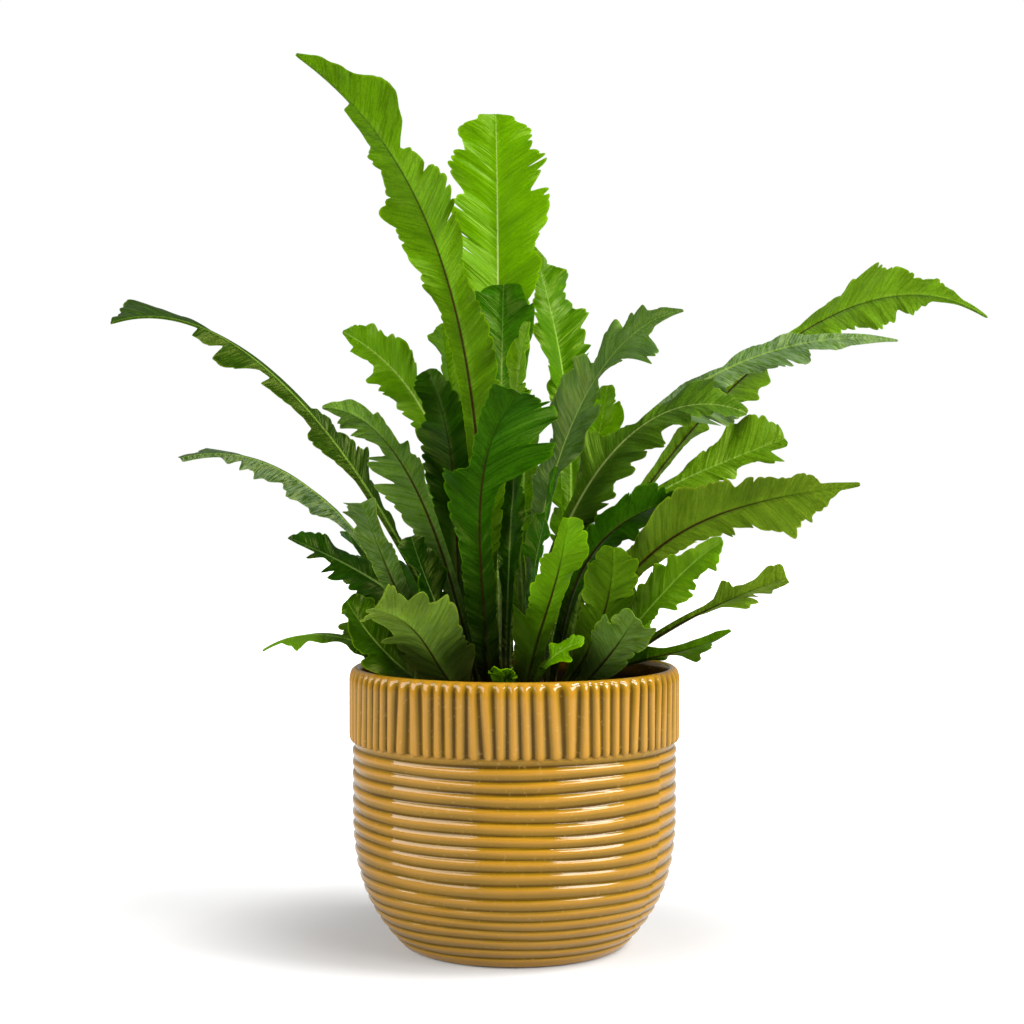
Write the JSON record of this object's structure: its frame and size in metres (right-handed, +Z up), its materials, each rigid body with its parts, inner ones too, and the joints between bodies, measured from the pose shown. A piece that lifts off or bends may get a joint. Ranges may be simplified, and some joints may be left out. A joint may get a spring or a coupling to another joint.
{
  "type": "potted bird's nest fern",
  "caption": "Bird's nest fern with lobed, wavy strap fronds fanning up from a low crown in a round glazed cover pot with a ribbed collar and ringed body.",
  "frame": {"origin": "centre of the pot's flat foot, on the surface it stands on", "axes": "+Z up along the pot's axis, +X to the right and -Y to the front as the picture sees the plant"},
  "size_m": [0.4088, 0.2209, 0.3927],
  "materials": {
    "pot_glaze": "gloss",
    "potting_soil": "matte",
    "crown_scales": "matte",
    "frond_bright": "satin",
    "frond_mid": "satin",
    "frond_dark": "satin",
    "frond_sage": "satin",
    "frond_olive": "satin"
  },
  "bodies": {
    "root": {"pot": "pot_glaze", "soil": "potting_soil", "crown": "crown_scales", "frond_tall_left": "frond_mid", "frond_top_centre": "frond_bright", "frond_right_back": "frond_bright", "frond_centre_smooth": "frond_dark", "frond_centre_edge": "frond_bright", "frond_centre_front": "frond_dark", "frond_stem_left": "frond_dark", "frond_stem_right": "frond_dark", "frond_left_behind": "frond_mid", "frond_left_bright": "frond_bright", "frond_left_dark": "frond_dark", "frond_left_long": "frond_sage", "frond_left_sage": "frond_sage", "frond_left_middle": "frond_sage", "frond_left_olive": "frond_olive", "frond_left_low_dark": "frond_dark", "frond_shade_left": "frond_dark", "frond_left_rim": "frond_mid", "frond_left_thin": "frond_bright", "frond_front_left": "frond_olive", "frond_rim_sprout": "frond_bright", "frond_front_young": "frond_bright", "frond_front_right": "frond_bright", "frond_front_glossy": "frond_mid", "frond_right_light": "frond_mid", "frond_right_rim": "frond_mid", "frond_right_stalk": "frond_olive", "frond_right_low_bright": "frond_bright", "frond_right_large": "frond_olive", "frond_right_folded": "frond_dark", "frond_right_hand": "frond_mid", "frond_right_twisted": "frond_sage", "frond_right_sage_long": "frond_sage", "frond_right_long": "frond_mid", "frond_right_sage": "frond_sage", "frond_back_bright": "frond_bright", "frond_back_left": "frond_dark", "frond_back_left_mid": "frond_mid", "frond_back_mid": "frond_mid", "frond_back_upright": "frond_mid", "frond_back_right_mid": "frond_mid", "frond_back_right": "frond_mid", "frond_back_low_left": "frond_mid", "frond_back_low_mid": "frond_mid", "frond_back_low_right": "frond_mid"}
  },
  "joints": []
}
